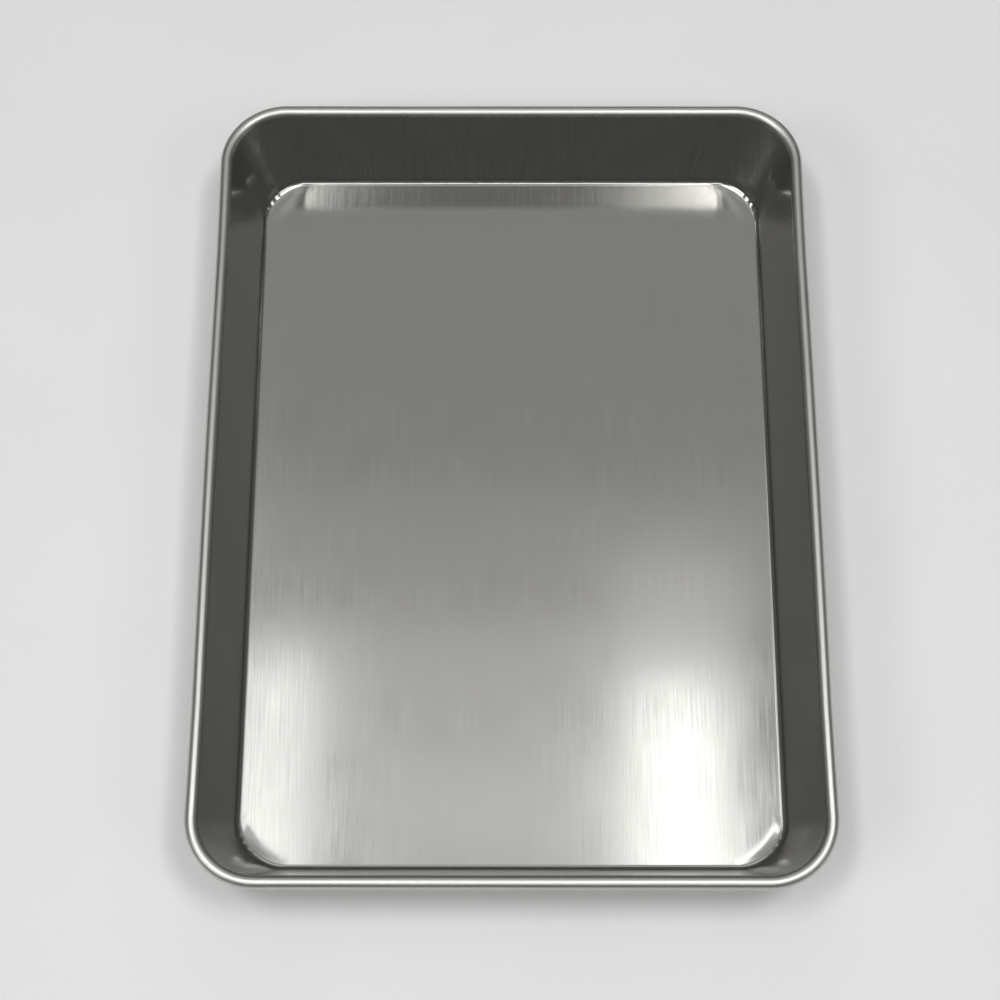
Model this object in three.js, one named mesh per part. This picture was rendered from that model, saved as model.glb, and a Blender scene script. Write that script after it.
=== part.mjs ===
// Developing tray: a rectangular tray deep-drawn from one stainless-steel sheet, with its rim rolled
// outward around a round stiffening wire.
// Millimetres. +X runs across the tray, +Y along it, +Z up. The origin is on the table surface, under
// the middle of the tray.
import * as THREE from 'three';

// Driving dimensions
const RIM_WIDTH = 230; // over the rolled rim, along X
const RIM_LENGTH = 312; // over the rolled rim, along Y
const HEIGHT = 40; // table to the top of the rim
const SHEET = 0.6; // thickness of the sheet
const WALL_LEAN = THREE.MathUtils.degToRad(13); // walls lean out from upright by this angle
const BEAD = 5; // outside diameter of the rolled rim
const BEAD_WRAP = THREE.MathUtils.degToRad(292); // how far the sheet turns round the wire
const RIM_CORNER = 26; // corner radius seen from above, at the outside of the rim
const FOOT_CORNER = 18; // corner radius seen from above, at the foot of the wall and at the floor's edge
const FLOOR_FILLET = 2; // inside radius between floor and wall
const WIRE = 3; // diameter of the stiffening wire
const WIRE_JOINT = 1; // gap between the wire's two ends, in the middle of one short side

// How finely the round stretches are divided
const CORNER_STEPS = 8;
const FILLET_STEPS = 6;
const BEAD_STEPS = 14;
const WIRE_SIDES = 10;

const STEEL = { color: 0x9c9b97, roughness: 0.28, metalness: 1 };
const WIRE_STEEL = { color: 0x85837f, roughness: 0.45, metalness: 1 };

const beadRadius = BEAD / 2;
const wallTurn = Math.PI / 2 - WALL_LEAN; // from a level floor to the wall

// The path of the sheet's inside face, from the floor's edge to the cut edge of the curl, seen in a
// section through one wall. Each station has u, its distance from the rim's outer edge (negative is
// inward), its height z, and tilt, the direction in which the path is heading (0 is level and outward).
// Positive turns bend the sheet upward and negative ones bend it over and down.
function sheetPath(start) {
  const stations = [{ ...start }];
  const last = () => stations[stations.length - 1];
  const line = (length) => {
    const { u, z, tilt } = last();
    stations.push({ u: u + length * Math.cos(tilt), z: z + length * Math.sin(tilt), tilt });
  };
  const arc = (radius, turn, steps) => {
    const { u, z, tilt } = last();
    const side = Math.sign(turn);
    for (let step = 1; step <= steps; step += 1) {
      const heading = tilt + (turn * step) / steps;
      stations.push({
        u: u + side * radius * (Math.sin(heading) - Math.sin(tilt)),
        z: z - side * radius * (Math.cos(heading) - Math.cos(tilt)),
        tilt: heading,
      });
    }
  };
  return { stations, line, arc };
}

// Run and rise of each stretch, which set the wall's length and the edge of the flat floor
const filletRun = FLOOR_FILLET * Math.cos(WALL_LEAN);
const filletRise = FLOOR_FILLET * (1 - Math.sin(WALL_LEAN));
const beadRun = beadRadius * (1 + Math.cos(WALL_LEAN));
const beadRise = beadRadius * (1 - Math.sin(WALL_LEAN));
const wallRise = HEIGHT - SHEET - filletRise - beadRise;
const wallLength = wallRise / Math.cos(WALL_LEAN);
const wallRun = wallLength * Math.sin(WALL_LEAN);
const floorEdge = -(filletRun + wallRun + beadRun);

const inside = sheetPath({ u: floorEdge, z: SHEET, tilt: 0 });
inside.arc(FLOOR_FILLET, wallTurn, FILLET_STEPS);
const wallFoot = inside.stations.length - 1;
inside.line(wallLength);
const wallTop = inside.stations.length - 1;
inside.arc(beadRadius, -BEAD_WRAP, BEAD_STEPS);

// Corner radius of the ring through a station: the rim's rings share their corner centres, the wall
// changes evenly down to its foot, and the fillet keeps the foot's radius down to the floor.
function cornerRadius(station, index) {
  const rimRadius = (u) => RIM_CORNER + u;
  const foot = inside.stations[wallFoot];
  const top = inside.stations[wallTop];
  if (index >= wallTop) {
    return rimRadius(station.u);
  }
  if (index > wallFoot) {
    return THREE.MathUtils.mapLinear(station.z, foot.z, top.z, FOOT_CORNER, rimRadius(top.u));
  }
  return FOOT_CORNER;
}

// A closed ring of points round the tray: a rectangle with round corners at one height.
function ring({ u, z, radius }) {
  const centreX = RIM_WIDTH / 2 + u - radius;
  const centreY = RIM_LENGTH / 2 + u - radius;
  const quarters = [[1, 1], [-1, 1], [-1, -1], [1, -1]];
  return quarters.flatMap(([signX, signY], quarter) => {
    return Array.from({ length: CORNER_STEPS + 1 }, (_, step) => {
      const angle = (quarter + step / CORNER_STEPS) * (Math.PI / 2);
      return new THREE.Vector3(
        signX * centreX + radius * Math.cos(angle),
        signY * centreY + radius * Math.sin(angle),
        z,
      );
    });
  });
}

// Joins a row of equal rings into a skin. Each end of the row closes on a point of its own.
function skin(rings, startPoint, endPoint) {
  const count = rings[0].length;
  const points = [startPoint, ...rings.flat(), endPoint];
  const at = (row, column) => 1 + row * count + (column % count);
  const faces = [];
  for (let column = 0; column < count; column += 1) {
    faces.push(0, at(0, column), at(0, column + 1));
    for (let row = 0; row < rings.length - 1; row += 1) {
      faces.push(at(row, column), at(row + 1, column), at(row + 1, column + 1));
      faces.push(at(row, column), at(row + 1, column + 1), at(row, column + 1));
    }
    faces.push(points.length - 1, at(rings.length - 1, column + 1), at(rings.length - 1, column));
  }
  const geometry = new THREE.BufferGeometry().setFromPoints(points);
  geometry.setIndex(faces);
  geometry.computeVertexNormals();
  return geometry;
}

// The pressed sheet: its inside face from the middle of the floor to the cut edge under the curl, then
// its outside face back to the middle of the underside, one sheet thickness away.
function trayPan() {
  const insideRings = [];
  const outsideRings = [];
  inside.stations.forEach((station, index) => {
    const radius = cornerRadius(station, index);
    const across = SHEET * Math.sin(station.tilt);
    const down = SHEET * Math.cos(station.tilt);
    insideRings.push(ring({ ...station, radius }));
    outsideRings.push(ring({ u: station.u + across, z: station.z - down, radius: radius + across }));
  });
  const floorMiddle = new THREE.Vector3(0, 0, SHEET);
  const undersideMiddle = new THREE.Vector3(0, 0, 0);
  return skin([...insideRings, ...outsideRings.reverse()], floorMiddle, undersideMiddle);
}

// The stiffening wire: a round bar bent into the rim's outline, its two ends meeting with a small gap.
function rimWire() {
  const centreline = ring({
    u: -beadRadius,
    z: HEIGHT - beadRadius,
    radius: RIM_CORNER - beadRadius,
  });
  const jointY = -(RIM_LENGTH / 2 - beadRadius);
  const jointHeight = HEIGHT - beadRadius;
  const thirdCorner = 3 * (CORNER_STEPS + 1);
  const route = [
    new THREE.Vector3(WIRE_JOINT / 2, jointY, jointHeight),
    ...centreline.slice(thirdCorner),
    ...centreline.slice(0, thirdCorner),
    new THREE.Vector3(-WIRE_JOINT / 2, jointY, jointHeight),
  ];
  const up = new THREE.Vector3(0, 0, 1);
  const sections = route.map((point, index) => {
    const before = route[Math.max(index - 1, 0)];
    const after = route[Math.min(index + 1, route.length - 1)];
    const arriving = point.clone().sub(before).normalize();
    const leaving = after.clone().sub(point).normalize();
    const along = arriving.clone().add(leaving).normalize();
    const outward = along.clone().cross(up);
    // a mitred section is wider than the wire, so that the lengths between bends keep their thickness
    const mitre = 1 / Math.max(along.dot(arriving), along.dot(leaving));
    return Array.from({ length: WIRE_SIDES }, (_, side) => {
      const angle = (side / WIRE_SIDES) * 2 * Math.PI;
      return point
        .clone()
        .addScaledVector(outward, (WIRE / 2) * mitre * Math.cos(angle))
        .addScaledVector(up, (WIRE / 2) * Math.sin(angle));
    });
  });
  return skin(sections, route[0], route[route.length - 1]);
}

const tray = new THREE.Group();

const pan = new THREE.Mesh(trayPan(), new THREE.MeshStandardMaterial(STEEL));
pan.name = 'tray_pan';
tray.add(pan);

const wire = new THREE.Mesh(rimWire(), new THREE.MeshStandardMaterial(WIRE_STEEL));
wire.name = 'rim_wire';
tray.add(wire);

export default tray;
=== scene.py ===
"""Looks of the developing tray: the drawn stainless pan, and the wire inside its rolled rim.

Everything is in metres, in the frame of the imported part: +X across the tray, +Y along it, +Z up,
with the origin on the table under the middle of the tray.
"""

import math

import bmesh
import bpy
from mathutils import Matrix, Vector, noise


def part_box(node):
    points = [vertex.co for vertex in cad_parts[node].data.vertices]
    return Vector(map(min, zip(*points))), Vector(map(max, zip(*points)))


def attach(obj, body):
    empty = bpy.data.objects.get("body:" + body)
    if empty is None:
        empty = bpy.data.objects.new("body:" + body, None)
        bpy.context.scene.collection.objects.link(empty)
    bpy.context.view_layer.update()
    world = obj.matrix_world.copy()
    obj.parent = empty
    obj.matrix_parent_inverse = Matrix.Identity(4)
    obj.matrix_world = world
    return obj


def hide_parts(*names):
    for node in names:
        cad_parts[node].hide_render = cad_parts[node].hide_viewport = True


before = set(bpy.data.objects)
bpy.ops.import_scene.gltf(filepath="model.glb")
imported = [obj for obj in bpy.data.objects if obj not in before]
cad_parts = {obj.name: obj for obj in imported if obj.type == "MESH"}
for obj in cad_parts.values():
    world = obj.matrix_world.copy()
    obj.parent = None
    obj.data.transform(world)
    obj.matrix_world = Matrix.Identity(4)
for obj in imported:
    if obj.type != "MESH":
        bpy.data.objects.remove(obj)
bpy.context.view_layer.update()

MM = 0.001

# -------------------------------------------------------------------------------------------------
# Sizes. The width and the length come from the frame, and the rest repeat the part's own.
# -------------------------------------------------------------------------------------------------

pan_low, pan_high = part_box("tray_pan")
HALF_WIDTH = (pan_high[0] - pan_low[0]) / 2
HALF_LENGTH = (pan_high[1] - pan_low[1]) / 2
HEIGHT = 40 * MM
SHEET = 0.6 * MM
WALL_LEAN = math.radians(13)
BEAD_RADIUS = 2.5 * MM
BEAD_WRAP = math.radians(292)
RIM_CORNER = 26 * MM
FOOT_CORNER = 18 * MM
FLOOR_FILLET = 2 * MM
WIRE_RADIUS = 1.5 * MM
WIRE_JOINT = 1 * MM
WIRE_BEVEL = 0.25 * MM

# What pressing leaves on the sheet
SIDE_BOW = 0.9 * MM  # how much more the long sides stand out at their ends than in their middle
FOOT_RIDGE = 0.05 * MM  # ridge along the foot of the walls, where the punch's edge pressed
FOOT_RIDGE_WIDTH = 0.45 * MM
WRINKLE = 0.18 * MM  # height of the fine wrinkles gathered at the foot of a corner
WRINKLES = 9  # how many there would be if they went all round it
WRINKLE_MIDDLE = 0.72  # where they gather, from 0 at the short side to 1 at the long side
WRINKLE_SPREAD = 0.2
WRINKLE_FADE = 4 * MM  # how soon they die away up the wall
FLUTE = 0.42 * MM  # depth of the broad flutes that run up a corner
FLUTES = 1.6  # how many go round a corner
SWELL = 0.5 * MM  # how far the fillet stands in, in the corners, where it is rounder
SWELL_REACH = 2.6 * MM  # how far it reaches up the wall and over the floor
WALL_WAVE = 0.12 * MM  # unevenness of the walls and the rim
WALL_WAVE_LENGTH = 55 * MM
FLOOR_WAVE = 0.03 * MM
FLOOR_WAVE_LENGTH = 60 * MM
FLOOR_WAVE_LEAST = 0.2  # share of the wave that is left in its hollows, clear of the table

# How finely the surfaces are divided
CORNER_STEPS = 64
SIDE_SPACING = 6 * MM
FILLET_STEPS = 14
FOOT_ZONE = 2 * MM  # the lowest stretch of the wall has finer rows, for the ridge
FOOT_STEPS = 8
WALL_STEPS = 16
BEAD_STEPS = 36
WIRE_SIDES = 16
EDGE_LOOP = 0.4 * MM  # a narrow row of faces beside each change from flat to round
FLOOR_STEPS = 20
FLOOR_EDGE = 0.9  # how far out, as a share, the floor's even rings go
FLOOR_EDGE_INSETS = (8, 6, 5, 4, 3.2, 2.5, 1.9, 1.4, 1, 0.6, 0.3)  # of the closer ones, in mm


# -------------------------------------------------------------------------------------------------
# The sheet's section through one wall
# -------------------------------------------------------------------------------------------------

class SheetPath:
    """Stations along the sheet's inside face: u from the rim's outer edge, z, heading, distance."""

    def __init__(self, u, z):
        self.stations = [(u, z, 0.0, 0.0)]

    def line(self, length, steps):
        u, z, heading, travelled = self.stations[-1]
        for step in range(1, steps + 1):
            run = length * step / steps
            place = (u + run * math.cos(heading), z + run * math.sin(heading))
            self.stations.append((*place, heading, travelled + run))

    def arc(self, radius, turn, steps):
        u, z, start, travelled = self.stations[-1]
        side = math.copysign(1, turn)
        for step in range(1, steps + 1):
            heading = start + turn * step / steps
            self.stations.append((
                u + side * radius * (math.sin(heading) - math.sin(start)),
                z - side * radius * (math.cos(heading) - math.cos(start)),
                heading,
                travelled + radius * abs(turn) * step / steps,
            ))


fillet_run = FLOOR_FILLET * math.cos(WALL_LEAN)
fillet_rise = FLOOR_FILLET * (1 - math.sin(WALL_LEAN))
bead_run = BEAD_RADIUS * (1 + math.cos(WALL_LEAN))
bead_rise = BEAD_RADIUS * (1 - math.sin(WALL_LEAN))
wall_rise = HEIGHT - SHEET - fillet_rise - bead_rise
wall_length = wall_rise / math.cos(WALL_LEAN)
wall_run = wall_rise * math.tan(WALL_LEAN)

path = SheetPath(-(fillet_run + wall_run + bead_run), SHEET)
path.arc(FLOOR_FILLET, math.pi / 2 - WALL_LEAN, FILLET_STEPS)
WALL_FOOT = len(path.stations) - 1
path.line(FOOT_ZONE, FOOT_STEPS)
path.line(wall_length - FOOT_ZONE - EDGE_LOOP, WALL_STEPS)
path.line(EDGE_LOOP, 1)
WALL_TOP = len(path.stations) - 1
path.arc(BEAD_RADIUS, -BEAD_WRAP, BEAD_STEPS)

foot_climb = path.stations[WALL_FOOT][3]
top_climb = path.stations[WALL_TOP][3]


def corner_radius(index):
    """Corner radius, seen from above, of the ring through a station of the inside face."""
    u, z = path.stations[index][:2]
    if index >= WALL_TOP:
        return RIM_CORNER + u
    if index > WALL_FOOT:
        foot_z = path.stations[WALL_FOOT][1]
        top_u, top_z = path.stations[WALL_TOP][:2]
        share = (z - foot_z) / (top_z - foot_z)
        return FOOT_CORNER + share * (RIM_CORNER + top_u - FOOT_CORNER)
    return FOOT_CORNER


# -------------------------------------------------------------------------------------------------
# What pressing leaves on the sheet: how far a place stands off its true surface, towards the inside
# -------------------------------------------------------------------------------------------------

def smooth(low, high, value):
    """Rises smoothly from 0 to 1 as the value goes from low to high."""
    share = min(max((value - low) / (high - low), 0), 1)
    return share * share * (3 - 2 * share)


def foot_ridge(climb):
    across = (climb - foot_climb - FOOT_RIDGE_WIDTH) / FOOT_RIDGE_WIDTH
    return FOOT_RIDGE * math.exp(-across * across)


def wrinkles(quarter, to_long_side, climb):
    """Fine wrinkles at the foot of a corner, nearer its long side."""
    gathered = math.exp(-((to_long_side - WRINKLE_MIDDLE) / WRINKLE_SPREAD) ** 2)
    low = smooth(0.2 * foot_climb, 0.8 * foot_climb, climb)
    low *= math.exp(-max(climb - foot_climb, 0) / WRINKLE_FADE)
    start = 2.1 * quarter  # so that no two corners are alike
    return WRINKLE * math.sin(math.tau * WRINKLES * to_long_side + start) * gathered * low


def flutes(quarter, to_long_side, climb):
    """Broad hollows that run up a corner and die away below the rim."""
    up_wall = smooth(foot_climb, 2.5 * foot_climb, climb)
    up_wall *= 1 - smooth(0.6 * top_climb, top_climb, climb)
    start = 1 + 0.84 * quarter
    flute = -math.sin(math.tau * FLUTES * to_long_side + start) * math.sin(math.pi * to_long_side)
    return FLUTE * flute * up_wall


def corner_swell(turn, climb):
    """The rounder fillet of the corners. Climb is negative on the floor."""
    across = (climb - foot_climb / 2) / SWELL_REACH
    return SWELL * math.sin(math.pi * turn) ** 2 * math.exp(-across * across)


def corner_shape(quarter, turn, climb):
    """All that sets a corner off its true surface. Turn goes from 0 to 1 round the corner."""
    to_long_side = 1 - turn if quarter % 2 == 0 else turn
    folds = wrinkles(quarter, to_long_side, climb) + flutes(quarter, to_long_side, climb)
    return folds + corner_swell(turn, climb)


def unevenness(point, climb):
    """The slight waviness of walls and rim, and the ridge along their foot."""
    up_wall = smooth(foot_climb, 3 * foot_climb, climb)
    return noise.noise(point / WALL_WAVE_LENGTH) * WALL_WAVE * up_wall + foot_ridge(climb)


def bowed(point):
    """Moves a point as the bow of the long sides does, which leaves their mean width as it is."""
    along = point.y / HALF_LENGTH
    share = min(max(point.z / HEIGHT, 0), 1)
    bow = SIDE_BOW * (along * along - 1 / 3) * share
    return point + Vector((math.copysign(bow, point.x), 0, 0))


# -------------------------------------------------------------------------------------------------
# Rings and skins
# -------------------------------------------------------------------------------------------------

QUARTERS = ((1, 1), (-1, 1), (-1, -1), (1, -1))
LONG_STEPS = round(2 * HALF_LENGTH / SIDE_SPACING)
SHORT_STEPS = round(2 * HALF_WIDTH / SIDE_SPACING)


def corner_point(u, radius, quarter, angle):
    sign_x, sign_y = QUARTERS[quarter % 4]
    outward = Vector((math.cos(angle), math.sin(angle), 0))
    centre = Vector((sign_x * (HALF_WIDTH + u - radius), sign_y * (HALF_LENGTH + u - radius), 0))
    return centre + radius * outward, outward


def ring(u, z, radius):
    """Places round the tray at one height, counter-clockwise: point, outward, quarter, turn."""
    places = []
    for quarter in range(4):
        for step in range(CORNER_STEPS + 1):
            turn = step / CORNER_STEPS
            angle = (quarter + turn) * math.pi / 2
            places.append((*corner_point(u, radius, quarter, angle), quarter, turn))
        start, outward = places[-1][:2]
        end, _ = corner_point(u, radius, quarter + 1, (quarter + 1) * math.pi / 2)
        steps = SHORT_STEPS if quarter % 2 == 0 else LONG_STEPS
        for step in range(1, steps):
            places.append((start.lerp(end, step / steps), outward, quarter, 1.0))
    for place in places:
        place[0].z = z
    return places


def skin(name, rings, first_point, last_point, sheet_places=None):
    """One closed surface through a row of equal rings, with a point at each end.

    The sheet places, if given, are the points' places on the flat sheet before it was pressed, with
    the distance climbed from the floor's edge as third number. The material's grain follows them.
    """
    mesh = bmesh.new()
    rows = [[mesh.verts.new(point) for point in points] for points in rings]
    first, last = mesh.verts.new(first_point), mesh.verts.new(last_point)
    count = len(rows[0])
    for column in range(count):
        after = (column + 1) % count
        mesh.faces.new((first, rows[0][column], rows[0][after]))
        mesh.faces.new((last, rows[-1][after], rows[-1][column]))
        for low, high in zip(rows, rows[1:]):
            mesh.faces.new((low[column], high[column], high[after], low[after]))
    for face in mesh.faces:
        face.smooth = True
    data = bpy.data.meshes.new(name)
    mesh.to_mesh(data)
    mesh.free()
    if sheet_places:
        flat = data.attributes.new("flat_sheet", "FLOAT_VECTOR", "POINT")
        places = [place for row in sheet_places for place in row] + [Vector(), Vector()]
        flat.data.foreach_set("vector", [number for place in places for number in place])
    piece = bpy.data.objects.new(name, data)
    bpy.context.scene.collection.objects.link(piece)
    return piece


def sheet_rings():
    """Rings of the inside and outside faces, one sheet thickness apart, and their sheet places."""
    inside, outside, flats = [], [], []
    floor_edge = [point for point, *_ in ring(*path.stations[0][:2], FOOT_CORNER)]
    for index, (u, z, heading, climb) in enumerate(path.stations):
        inner, outer, flat = [], [], []
        places = ring(u, z, corner_radius(index))
        for edge, (point, outward, quarter, turn) in zip(floor_edge, places):
            normal = Vector((0, 0, math.cos(heading))) - outward * math.sin(heading)
            offset = unevenness(point, climb) + corner_shape(quarter, turn, climb)
            inner.append(bowed(point + normal * offset))
            outer.append(bowed(point + normal * (offset - SHEET)))
            on_sheet = edge + outward * climb
            flat.append(Vector((on_sheet.x, on_sheet.y, climb)))
        inside.append(inner)
        outside.append(outer)
        flats.append(flat)
    return inside, outside, flats


def floor_rise(point):
    """The floor's slight waviness, always a little above its edge, on which the tray stands."""
    wave = 0.5 + noise.noise(Vector((point.x, point.y, 0)) / FLOOR_WAVE_LENGTH)
    return FLOOR_WAVE * max(wave, FLOOR_WAVE_LEAST)


def floor_rings(edge, z):
    """Rings of the floor from its middle out to its edge, with narrow ones beside the edge."""
    shares = [step / FLOOR_STEPS for step in range(1, round(FLOOR_STEPS * FLOOR_EDGE) + 1)]
    shares += [1 - inset * MM / HALF_WIDTH for inset in FLOOR_EDGE_INSETS]
    places = ring(*path.stations[0][:2], FOOT_CORNER)
    rings = []
    for share in shares:
        fade = 1 - smooth(FLOOR_EDGE, 1, share)
        row = []
        for edge_point, (_, outward, _, turn) in zip(edge, places):
            point = Vector((edge_point.x * share, edge_point.y * share, z))
            inset = (edge_point - point).dot(outward)
            point.z += floor_rise(point) * fade + corner_swell(turn, -inset)
            row.append(point)
        rings.append(row)
    return rings


def make_pan():
    inside, outside, flats = sheet_rings()
    top = floor_rings(inside[0], SHEET)
    under = floor_rings(outside[0], 0)
    floor_flats = [[Vector((point.x, point.y, 0)) for point in row] for row in top]
    rings = top + inside + outside[::-1] + under[::-1]
    places = floor_flats + flats + flats[::-1] + floor_flats[::-1]
    middle = Vector((0, 0, floor_rise(Vector())))
    return skin("pan", rings, middle + Vector((0, 0, SHEET)), middle, places)


def wire_route():
    """Places along the wire's middle from one cut end to the other: point, outward direction."""
    height = HEIGHT - BEAD_RADIUS
    near_y = -(HALF_LENGTH - BEAD_RADIUS)
    loop = [place[:2] for place in ring(-BEAD_RADIUS, height, RIM_CORNER - BEAD_RADIUS)]
    near_side = [index for index, (point, _) in enumerate(loop) if point.y < near_y + MM / 10]
    right_of_joint = min(index for index in near_side if loop[index][0].x > WIRE_JOINT)
    left_of_joint = max(index for index in near_side if loop[index][0].x < -WIRE_JOINT)
    outward = Vector((0, -1, 0))
    end_xs = (WIRE_JOINT / 2, WIRE_JOINT / 2 + WIRE_BEVEL)
    start = [(Vector((x, near_y, height)), outward) for x in end_xs]
    finish = [(Vector((-x, near_y, height)), outward) for x in end_xs[::-1]]
    return start + loop[right_of_joint:] + loop[:left_of_joint + 1] + finish


def make_wire():
    """The round wire inside the rim, its two cut ends meeting in the middle of the near side."""
    route = wire_route()
    angles = [math.tau * side / WIRE_SIDES for side in range(WIRE_SIDES)]
    sections = []
    for index, (point, outward) in enumerate(route):
        cut = index in (0, len(route) - 1)
        radius = WIRE_RADIUS - WIRE_BEVEL if cut else WIRE_RADIUS
        middle = bowed(point)
        offsets = [outward * math.cos(angle) + Vector((0, 0, math.sin(angle))) for angle in angles]
        sections.append([middle + offset * radius for offset in offsets])
    return skin("wire", sections, bowed(route[0][0]), bowed(route[-1][0]))


# -------------------------------------------------------------------------------------------------
# Materials
# -------------------------------------------------------------------------------------------------

NOISE_SPREAD = (0.3, 0.7)  # nearly all values of a noise lie between these

# How wide and how long the steel's marks are: across the tray, along it, and with the climb
GRAIN_SIZE = (0.6 * MM, 24 * MM, 24 * MM)
STREAK_SIZE = (2.5 * MM, 140 * MM, 140 * MM)
MOTTLE_SIZE = (22 * MM, 22 * MM, 22 * MM)
GRAIN_DEPTH = 0.002 * MM

# Roughness of the sheet, and what the mottle, the fillet and the rolled rim add to it
GRAIN_ROUGHNESS = (0.095, 0.15)
MOTTLE_ROUGHNESS = (-0.01, 0.015)
FILLET_ROUGHNESS = 0.06
WALL_SMOOTHER = 0.03  # how much smoother the walls are than the fillet
RIM_ROUGHNESS = 0.23

# Colours of the sheet, between which its streaks go
STEEL_PALE = (0.555, 0.55, 0.527, 1)
STEEL_DARK = (0.547, 0.542, 0.519, 1)

# The dark line of painted shade at the foot of the walls, in the crease where the wall meets the
# fillet
FOOT_SHADE = (0.2, 0.19, 0.18, 1)
FOOT_SHADE_SHARE = 0.5  # how much of the steel it hides

WIRE_ROUGHNESS = (0.3, 0.42)
WIRE_LINE_SIZE = (1.5 * MM, 1.5 * MM, 0.15 * MM)
WIRE_LINE_DEPTH = 0.004 * MM
WIRE_SPOT_SIZE = (6 * MM, 6 * MM, 6 * MM)
WIRE_PALE = (0.5, 0.495, 0.48, 1)
WIRE_DARK = (0.4, 0.39, 0.37, 1)

TABLE_ROUGHNESS = 0.85
TOOTH_SIZE = (1.2 * MM, 1.2 * MM, 1.2 * MM)
TOOTH_DEPTH = 0.03 * MM
CLOUD_SIZE = (90 * MM, 90 * MM, 90 * MM)
TABLE_PALE = (0.9, 0.9, 0.9, 1)
TABLE_DARK = (0.88, 0.88, 0.878, 1)


class Nodes:
    """Short calls for building one material's node tree."""

    def __init__(self, name):
        self.material = bpy.data.materials.new(name)
        self.material.use_nodes = True
        self.tree = self.material.node_tree
        self.shader = self.tree.nodes["Principled BSDF"]

    def add(self, kind, **sockets):
        node = self.tree.nodes.new(kind)
        for name, value in sockets.items():
            self.set(node.inputs[name], value)
        return node

    def set(self, socket, value):
        if isinstance(value, bpy.types.NodeSocket):
            self.tree.links.new(value, socket)
        else:
            socket.default_value = value

    def noise(self, place, size, detail):
        """Noise from 0 to 1 whose features have the given size along each axis, in metres."""
        scale = self.add("ShaderNodeVectorMath", Vector=place)
        scale.operation = "MULTIPLY"
        scale.inputs[1].default_value = [1 / length for length in size]
        texture = self.add("ShaderNodeTexNoise", Vector=scale.outputs[0], Scale=1, Detail=detail)
        return texture.outputs["Fac"]

    def remap(self, value, low, high, to_low, to_high):
        """Takes low..high to to_low..to_high in proportion, and stops at both ends."""
        node = self.add("ShaderNodeMapRange", Value=value)
        node.inputs["From Min"].default_value = low
        node.inputs["From Max"].default_value = high
        node.inputs["To Min"].default_value = to_low
        node.inputs["To Max"].default_value = to_high
        return node.outputs["Result"]

    def combine(self, operation, first, second):
        node = self.add("ShaderNodeMath")
        node.operation = operation
        self.set(node.inputs[0], first)
        self.set(node.inputs[1], second)
        return node.outputs[0]

    def sum(self, *values):
        total = values[0]
        for value in values[1:]:
            total = self.combine("ADD", total, value)
        return total

    def blend(self, share, colour_a, colour_b):
        node = self.add("ShaderNodeMix")
        node.data_type = "RGBA"
        self.set(node.inputs["Factor"], share)
        self.set(node.inputs["A"], colour_a)
        self.set(node.inputs["B"], colour_b)
        return node.outputs["Result"]

    def bump(self, height, depth):
        node = self.add("ShaderNodeBump", Height=height)
        node.inputs["Distance"].default_value = depth
        return node.outputs["Normal"]


def painted_foot_shade(steel, climb):
    """How much of the painted shade shows: a dark line along the foot of the walls."""
    above = steel.remap(climb, foot_climb - 0.5 * MM, foot_climb, 0, 1)
    below = steel.remap(climb, foot_climb + 0.2 * MM, foot_climb + 0.9 * MM, 1, 0)
    return steel.remap(steel.combine("MULTIPLY", above, below), 0, 1, 0, FOOT_SHADE_SHARE)


def pan_roughness(steel, climb, grain, mottle):
    """The sheet is duller where it was stretched: on the fillet, and more so on the rolled rim."""
    return steel.sum(
        steel.remap(grain, *NOISE_SPREAD, *GRAIN_ROUGHNESS),
        steel.remap(mottle, *NOISE_SPREAD, *MOTTLE_ROUGHNESS),
        steel.remap(climb, 0.2 * foot_climb, 0.6 * foot_climb, 0, FILLET_ROUGHNESS),
        steel.remap(climb, 0.9 * foot_climb, 1.5 * foot_climb, 0, -WALL_SMOOTHER),
        steel.remap(climb, top_climb - 0.5 * MM, top_climb + 1.5 * MM, 0, RIM_ROUGHNESS),
    )


def pan_steel():
    """Bright rolled stainless sheet with a lengthwise grain, laid out on the flat sheet."""
    steel = Nodes("pan_steel")
    flat = steel.add("ShaderNodeAttribute")
    flat.attribute_name = "flat_sheet"
    place = flat.outputs["Vector"]
    climb = steel.add("ShaderNodeSeparateXYZ", Vector=place).outputs["Z"]
    grain = steel.noise(place, GRAIN_SIZE, detail=3)
    streaks = steel.noise(place, STREAK_SIZE, detail=2)
    mottle = steel.noise(place, MOTTLE_SIZE, detail=3)

    streak_share = steel.remap(streaks, *NOISE_SPREAD, 0, 1)
    colour = steel.blend(streak_share, STEEL_PALE, STEEL_DARK)
    # painted shade: the steel's colour is darkened along the crease at the foot of the walls
    colour = steel.blend(painted_foot_shade(steel, climb), colour, FOOT_SHADE)
    steel.set(steel.shader.inputs["Base Color"], colour)
    steel.shader.inputs["Metallic"].default_value = 1
    steel.set(steel.shader.inputs["Roughness"], pan_roughness(steel, climb, grain, mottle))
    steel.set(steel.shader.inputs["Normal"], steel.bump(grain, GRAIN_DEPTH))
    return steel.material


def wire_steel():
    """Plain drawn wire, dull, with fine lines."""
    steel = Nodes("wire_steel")
    place = steel.add("ShaderNodeTexCoord").outputs["Object"]
    lines = steel.noise(place, WIRE_LINE_SIZE, detail=2)
    spots = steel.noise(place, WIRE_SPOT_SIZE, detail=3)
    spot_share = steel.remap(spots, *NOISE_SPREAD, 0, 1)
    colour = steel.blend(spot_share, WIRE_PALE, WIRE_DARK)
    steel.set(steel.shader.inputs["Base Color"], colour)
    steel.shader.inputs["Metallic"].default_value = 1
    roughness = steel.remap(lines, *NOISE_SPREAD, *WIRE_ROUGHNESS)
    steel.set(steel.shader.inputs["Roughness"], roughness)
    steel.set(steel.shader.inputs["Normal"], steel.bump(lines, WIRE_LINE_DEPTH))
    return steel.material


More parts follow.
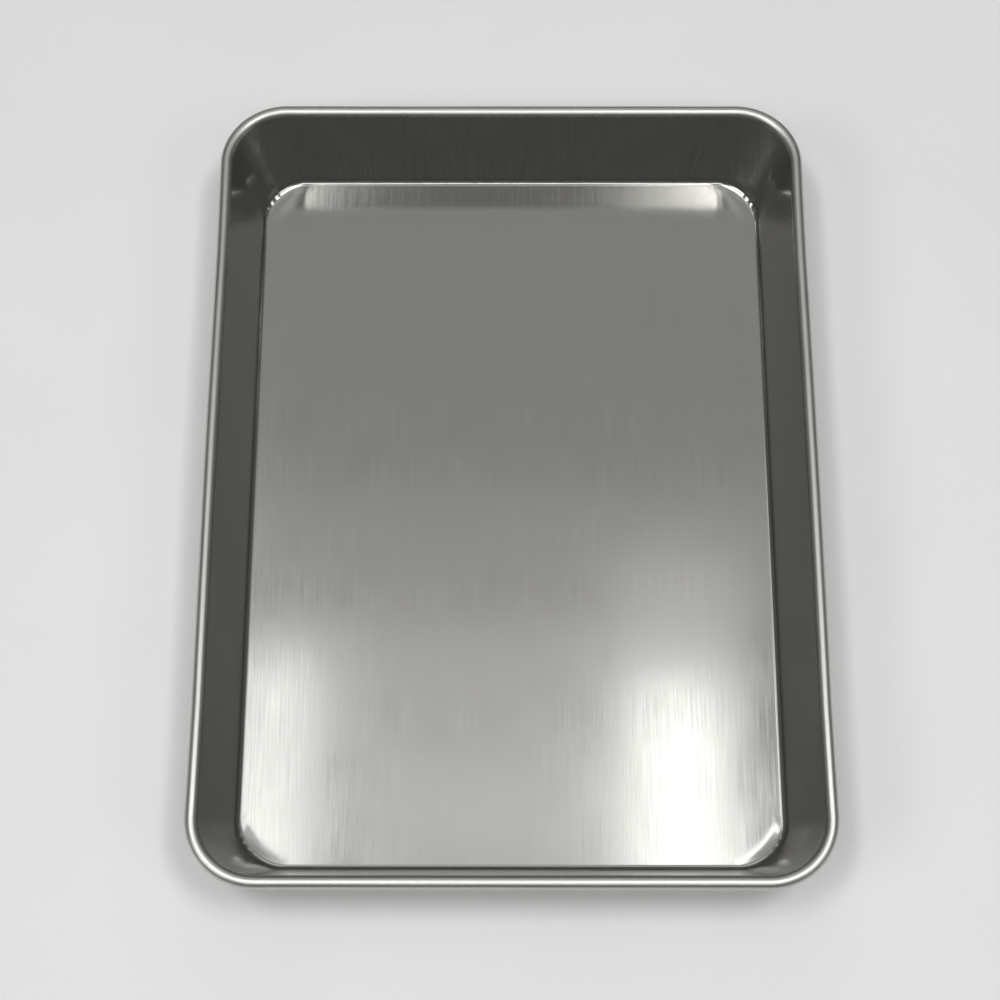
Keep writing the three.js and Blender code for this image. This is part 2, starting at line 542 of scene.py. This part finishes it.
def table_white():
    """A pale matt table with a faint tooth."""
    paint = Nodes("table_white")
    place = paint.add("ShaderNodeTexCoord").outputs["Object"]
    tooth = paint.noise(place, TOOTH_SIZE, detail=3)
    clouds = paint.noise(place, CLOUD_SIZE, detail=2)
    cloud_share = paint.remap(clouds, *NOISE_SPREAD, 0, 1)
    colour = paint.blend(cloud_share, TABLE_PALE, TABLE_DARK)
    paint.set(paint.shader.inputs["Base Color"], colour)
    paint.shader.inputs["Roughness"].default_value = TABLE_ROUGHNESS
    paint.set(paint.shader.inputs["Normal"], paint.bump(tooth, TOOTH_DEPTH))
    return paint.material


def finish_piece(piece, material, node):
    piece.data.materials.append(material)
    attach(piece, "root")
    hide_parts(node)


finish_piece(make_pan(), pan_steel(), "tray_pan")
finish_piece(make_wire(), wire_steel(), "rim_wire")


# -------------------------------------------------------------------------------------------------
# Floor, camera and light
# -------------------------------------------------------------------------------------------------

TABLE_SIZE = 6  # side of the square

# Where the camera stands, and how it turns: down from level, then a little about the other two axes
CAMERA_PLACE = (-2.4 * MM, -268.3 * MM, 736.2 * MM)
CAMERA_PITCH = math.radians(69.842)
CAMERA_TURN = math.radians(0.416)
CAMERA_ROLL = math.radians(-0.367)
CAMERA_LENS = 72  # focal length and sensor width, in millimetres
CAMERA_SENSOR = 36

# The room's own light, and the glow in it
ROOM_COLOUR = (1, 0.995, 0.975, 1)
ROOM_STRENGTH = 0.12
GLOW_STRENGTH = 0.36
GLOW_DIRECTION = (0, 0.5, 0.87)
GLOW_REACH = math.radians(45)  # from its middle to where it has faded out

LAMP_HEIGHT = 2  # of all panels, over the table


def make_table():
    bpy.ops.mesh.primitive_plane_add(size=TABLE_SIZE, location=(0, 0, 0))
    table = bpy.context.object
    table.name = "table_top"
    table.data.materials.append(table_white())


def camera_axes():
    """The camera's right, down and forward directions, as rows."""
    forward = Vector((0, math.cos(CAMERA_PITCH), -math.sin(CAMERA_PITCH)))
    right = Vector((1, 0, 0))
    pitched = Matrix((right, forward.cross(right), forward))
    turned = pitched @ Matrix.Rotation(CAMERA_TURN, 3, "Z").transposed()
    return Matrix.Rotation(CAMERA_ROLL, 3, "Z") @ turned


def make_camera():
    data = bpy.data.cameras.new("camera")
    data.sensor_width = CAMERA_SENSOR
    data.lens = CAMERA_LENS
    camera = bpy.data.objects.new("camera", data)
    bpy.context.scene.collection.objects.link(camera)
    right, down, forward = camera_axes()
    turned = Matrix((right, -down, -forward)).transposed().to_4x4()
    camera.matrix_world = Matrix.Translation(CAMERA_PLACE) @ turned
    bpy.context.scene.camera = camera


def make_world():
    """A dim room with a soft glow on the ceiling behind the tray."""
    world = bpy.data.worlds.new("studio")
    bpy.context.scene.world = world
    world.use_nodes = True
    nodes, links = world.node_tree.nodes, world.node_tree.links
    direction = nodes.new("ShaderNodeTexCoord")
    towards = nodes.new("ShaderNodeVectorMath")
    towards.operation = "DOT_PRODUCT"
    links.new(direction.outputs["Generated"], towards.inputs[0])
    towards.inputs[1].default_value = Vector(GLOW_DIRECTION).normalized()
    shade = nodes.new("ShaderNodeMapRange")
    shade.interpolation_type = "SMOOTHSTEP"
    shade.inputs["From Min"].default_value = math.cos(GLOW_REACH)
    shade.inputs["From Max"].default_value = 1
    shade.inputs["To Min"].default_value = ROOM_STRENGTH
    shade.inputs["To Max"].default_value = GLOW_STRENGTH
    links.new(towards.outputs["Value"], shade.inputs["Value"])
    links.new(shade.outputs["Result"], nodes["Background"].inputs["Strength"])
    nodes["Background"].inputs["Color"].default_value = ROOM_COLOUR


def make_panel(name, at, size, radiance):
    """A flat light facing down from lamp height, with its brightness seen straight on."""
    width, length = size
    data = bpy.data.lights.new(name, "AREA")
    data.shape = "RECTANGLE"
    data.size = width
    data.size_y = length
    data.energy = radiance * math.pi * width * length
    light = bpy.data.objects.new(name, data)
    light.location = (*at, LAMP_HEIGHT)
    bpy.context.scene.collection.objects.link(light)


def light_rim():
    """Panels on both sides, which light the table and draw the white lines along the rim."""
    make_panel("lamp_left", at=(-0.575, -0.1), size=(0.25, 0.55), radiance=18)
    make_panel("lamp_right", at=(0.575, -0.1), size=(0.25, 0.55), radiance=19)
    make_panel("strip_left", at=(-0.37, -0.15), size=(0.12, 0.3), radiance=6)
    make_panel("strip_right", at=(0.36, -0.15), size=(0.14, 0.3), radiance=12)
    make_panel("side_left", at=(-1.8, -1), size=(1, 1.2), radiance=3.8)
    make_panel("side_right", at=(1.8, -1), size=(1, 1.2), radiance=2)


def light_ends():
    """Panels in front of the tray, which draw the line at the far fillet, and beyond it."""
    make_panel("front_bar", at=(0, -1.15), size=(1.1, 0.16), radiance=9)
    make_panel("front_middle", at=(0, -0.8), size=(0.9, 0.4), radiance=0.8)
    make_panel("far_left", at=(-0.65, 0.65), size=(0.4, 0.4), radiance=0.8)
    make_panel("far_low", at=(0, 1.9), size=(1.6, 0.7), radiance=0.7)


def light_floor():
    """Panels mirrored in the floor: a pair of highlights, and a soft rise, both near its front."""
    make_panel("spot_left", at=(-0.335, 0.25), size=(0.13, 0.52), radiance=1.5)
    make_panel("spot_right", at=(0.242, 0.27), size=(0.14, 0.4), radiance=2.05)
    make_panel("spot_right_far", at=(0.25, 0.55), size=(0.18, 0.2), radiance=0.42)
    make_panel("glow_front", at=(0, 0.25), size=(0.44, 0.2), radiance=0.48)
    make_panel("glow_middle", at=(0, 0.45), size=(0.7, 0.2), radiance=0.32)
    make_panel("glow_back", at=(0, 0.65), size=(0.9, 0.2), radiance=0.11)


make_table()
make_camera()
make_world()
light_rim()
light_ends()
light_floor()

bpy.context.scene.view_settings.view_transform = "Standard"
